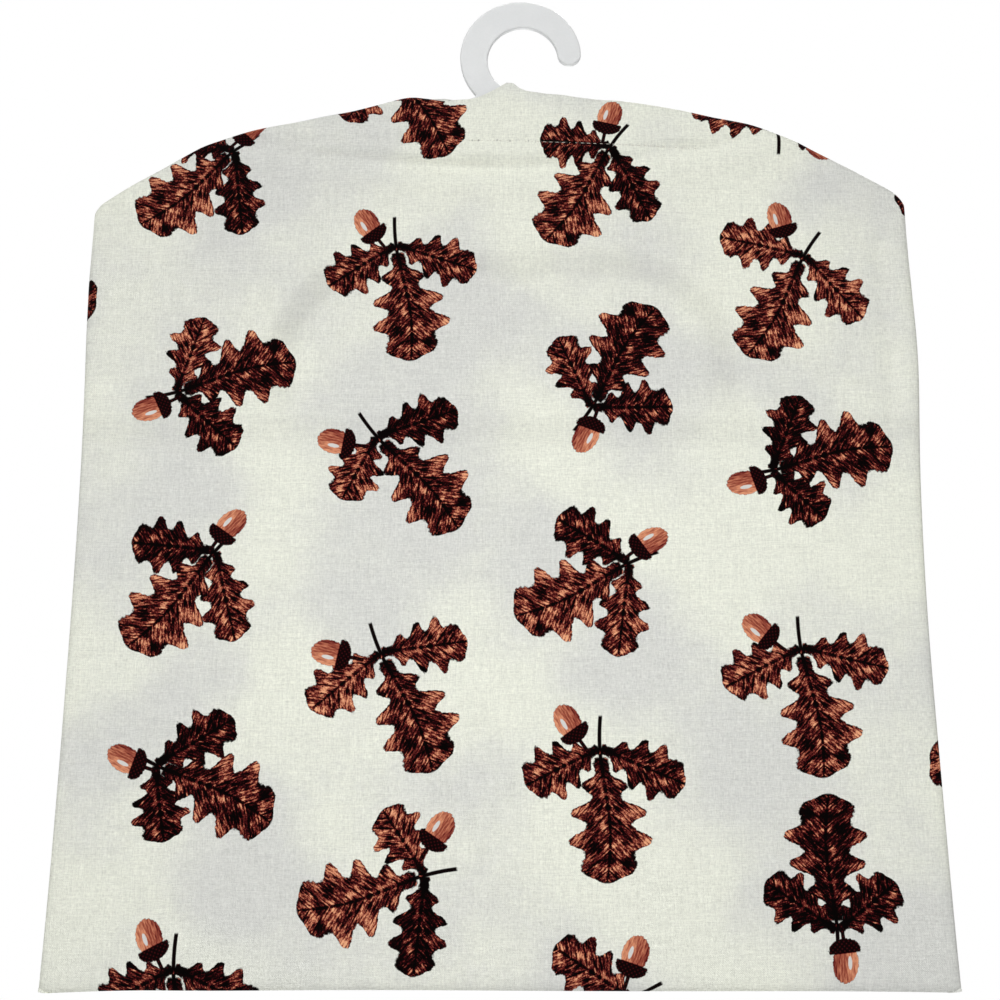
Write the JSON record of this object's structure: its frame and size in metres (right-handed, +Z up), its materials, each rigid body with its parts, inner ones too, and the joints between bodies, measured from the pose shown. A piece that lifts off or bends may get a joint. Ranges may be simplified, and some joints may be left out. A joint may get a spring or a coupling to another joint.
{
  "type": "peg bag",
  "caption": "Flat cotton peg bag on a one-piece plastic hanger with a flat open hook: plain back, front with a bound hand opening over a pocket whose lip pulls forward.",
  "frame": {"origin": "crown of the hook's inner edge, where a line or rail bears, in the middle of the hook's thickness", "axes": "+Z up as it hangs, +X to the right seen from the plain back, +Y out of the front with the hand opening"},
  "size_m": [0.353, 0.0294, 0.4128],
  "materials": {
    "white_plastic": "satin flat plastic",
    "printed_cotton": "washed cotton with a scattered leaf print",
    "cotton_tape": "plain cotton tape"
  },
  "bodies": {
    "hanger": {"hanger": "white_plastic"},
    "bag": {"back_panel": "printed_cotton", "front_yoke": "printed_cotton", "arch_binding": "cotton_tape", "neck_facing": "printed_cotton", "left_shoulder_seam": "printed_cotton", "right_shoulder_seam": "printed_cotton", "left_side_seam": "printed_cotton", "right_side_seam": "printed_cotton", "bottom_seam": "printed_cotton"},
    "pocket": {"front_pocket": "printed_cotton", "pocket_hem": "cotton_tape"}
  },
  "joints": [
    {"name": "bag_lift", "type": "slide", "parent": "hanger", "child": "bag", "axis": [0, 0, 1], "range_m": [0, 0.012]},
    {"name": "pocket_gape", "type": "hinge", "parent": "bag", "child": "pocket", "pos_m": [-0.01, 0.0032, -0.40033], "axis": [-1, 0, 0], "range_deg": [0, 10], "stiffness_Nm_per_rad": 0.15, "springref_deg": -2.86}
  ]
}
